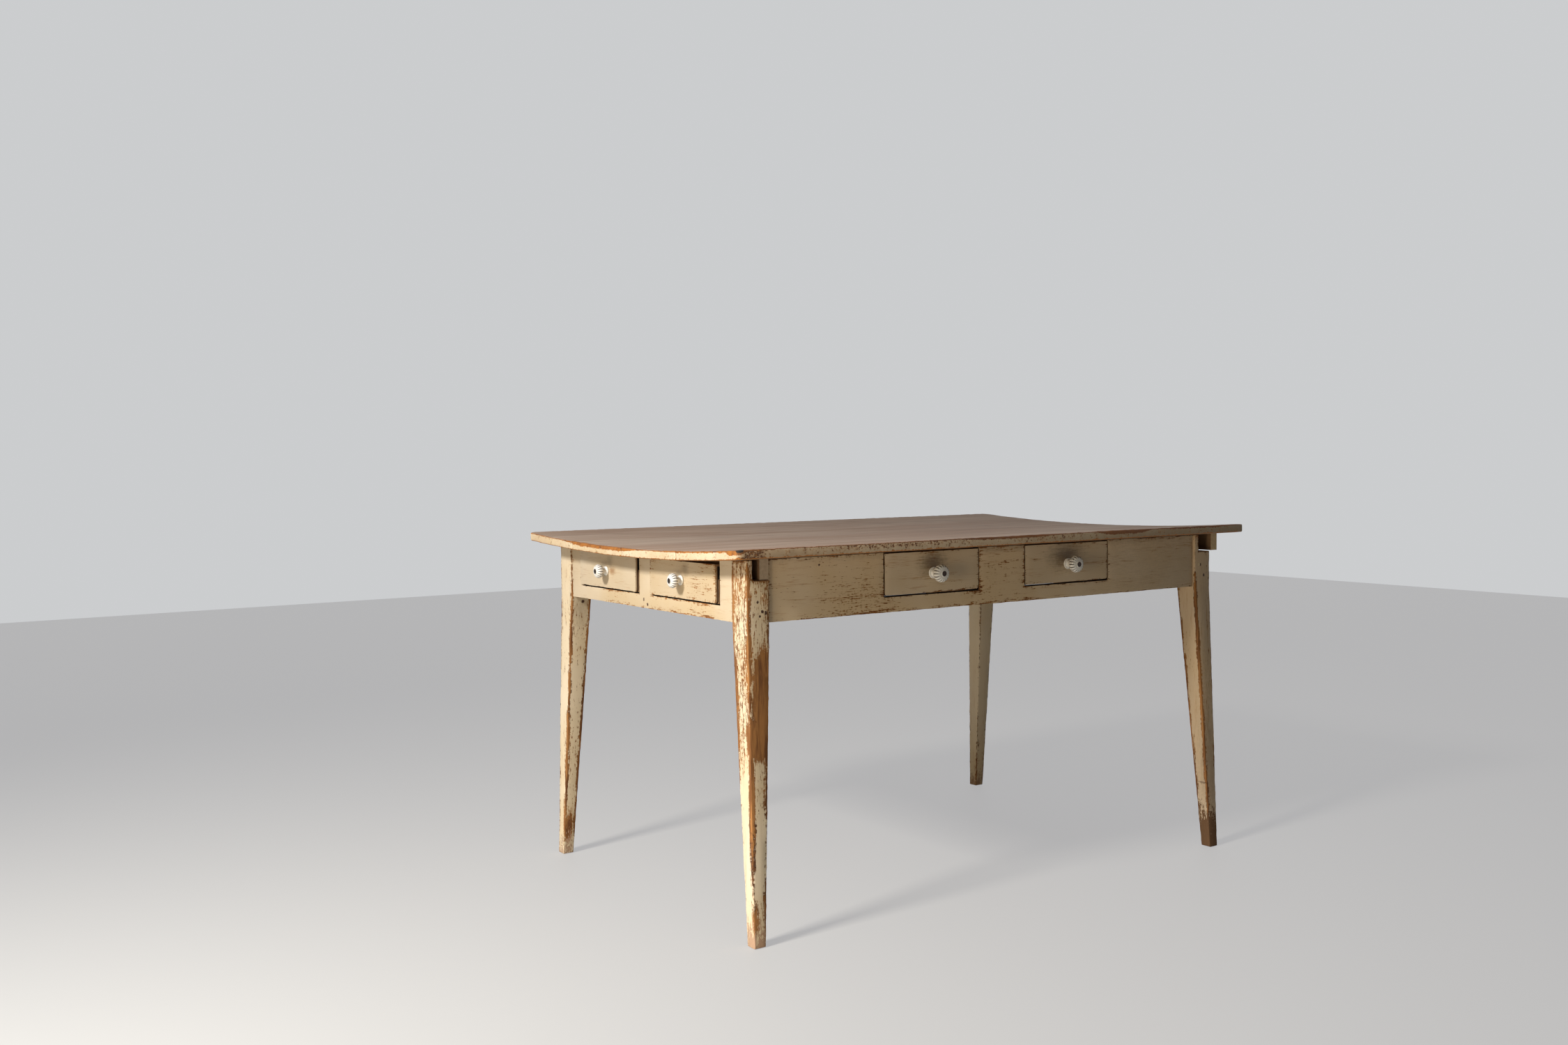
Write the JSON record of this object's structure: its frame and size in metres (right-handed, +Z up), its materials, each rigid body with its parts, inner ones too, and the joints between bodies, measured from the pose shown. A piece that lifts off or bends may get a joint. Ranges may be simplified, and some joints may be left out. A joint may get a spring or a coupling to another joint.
{
  "type": "kitchen table with drawers",
  "caption": "Worn painted kitchen table with a cupped plank top, four tapered legs, scribed aprons and sliding drawers with fluted porcelain knobs.",
  "frame": {"origin": "on the floor below the middle of the leg frame", "axes": "+X along the table to its right end, +Y to the back, +Z up; the long side with two drawers faces -Y"},
  "size_m": [1.41, 0.91, 0.7597],
  "materials": {
    "painted_pine": "chipped cream paint on pine",
    "bare_top": "bare worn pine, matt",
    "raw_pine": "unfinished aged pine",
    "porcelain": "white glaze, glossy, opaque",
    "bolt_metal": "dark tarnished iron",
    "iron": "rusty cut nails"
  },
  "bodies": {
    "frame": {"top_board_1": "bare_top", "top_board_2": "bare_top", "top_board_3": "bare_top", "top_board_4": "bare_top", "batten_left": "raw_pine", "batten_right": "raw_pine", "batten_nails": "iron", "leg_front_left": "painted_pine", "leg_front_right": "painted_pine", "leg_back_left": "painted_pine", "leg_back_right": "painted_pine", "joint_pegs": "raw_pine", "apron_front": "painted_pine", "apron_back": "painted_pine", "apron_left": "painted_pine", "apron_right": "painted_pine", "cross_bearer": "raw_pine", "front_drawer_runner_1": "raw_pine", "front_drawer_runner_2": "raw_pine", "front_drawer_runner_3": "raw_pine", "front_drawer_runner_4": "raw_pine", "end_drawer_runner_1": "raw_pine", "end_drawer_runner_2": "raw_pine", "end_drawer_runner_3": "raw_pine", "end_drawer_runner_4": "raw_pine", "drawer_stops": "raw_pine"},
    "front_left_drawer": {"front_left_drawer_face": "painted_pine", "front_left_drawer_side_left": "raw_pine", "front_left_drawer_side_right": "raw_pine", "front_left_drawer_back": "raw_pine", "front_left_drawer_base": "raw_pine", "front_left_drawer_knob": "porcelain", "front_left_drawer_knob_bolt": "bolt_metal", "front_left_drawer_knob_nut": "bolt_metal"},
    "front_right_drawer": {"front_right_drawer_face": "painted_pine", "front_right_drawer_side_left": "raw_pine", "front_right_drawer_side_right": "raw_pine", "front_right_drawer_back": "raw_pine", "front_right_drawer_base": "raw_pine", "front_right_drawer_knob": "porcelain", "front_right_drawer_knob_bolt": "bolt_metal", "front_right_drawer_knob_nut": "bolt_metal"},
    "end_near_drawer": {"end_near_drawer_face": "painted_pine", "end_near_drawer_side_left": "raw_pine", "end_near_drawer_side_right": "raw_pine", "end_near_drawer_back": "raw_pine", "end_near_drawer_base": "raw_pine", "end_near_drawer_knob": "porcelain", "end_near_drawer_knob_bolt": "bolt_metal", "end_near_drawer_knob_nut": "bolt_metal"},
    "end_far_drawer": {"end_far_drawer_face": "painted_pine", "end_far_drawer_side_left": "raw_pine", "end_far_drawer_side_right": "raw_pine", "end_far_drawer_back": "raw_pine", "end_far_drawer_base": "raw_pine", "end_far_drawer_knob": "porcelain", "end_far_drawer_knob_bolt": "bolt_metal", "end_far_drawer_knob_nut": "bolt_metal"}
  },
  "joints": [
    {"name": "front_left_drawer_slide", "type": "slide", "parent": "frame", "child": "front_left_drawer", "axis": [0, -1, 0], "range_m": [0, 0.33]},
    {"name": "front_right_drawer_slide", "type": "slide", "parent": "frame", "child": "front_right_drawer", "axis": [0, -1, 0], "range_m": [0, 0.33]},
    {"name": "end_near_drawer_slide", "type": "slide", "parent": "frame", "child": "end_near_drawer", "axis": [-1, 0, 0], "range_m": [0, 0.2]},
    {"name": "end_far_drawer_slide", "type": "slide", "parent": "frame", "child": "end_far_drawer", "axis": [-1, 0, 0], "range_m": [0, 0.2]}
  ]
}
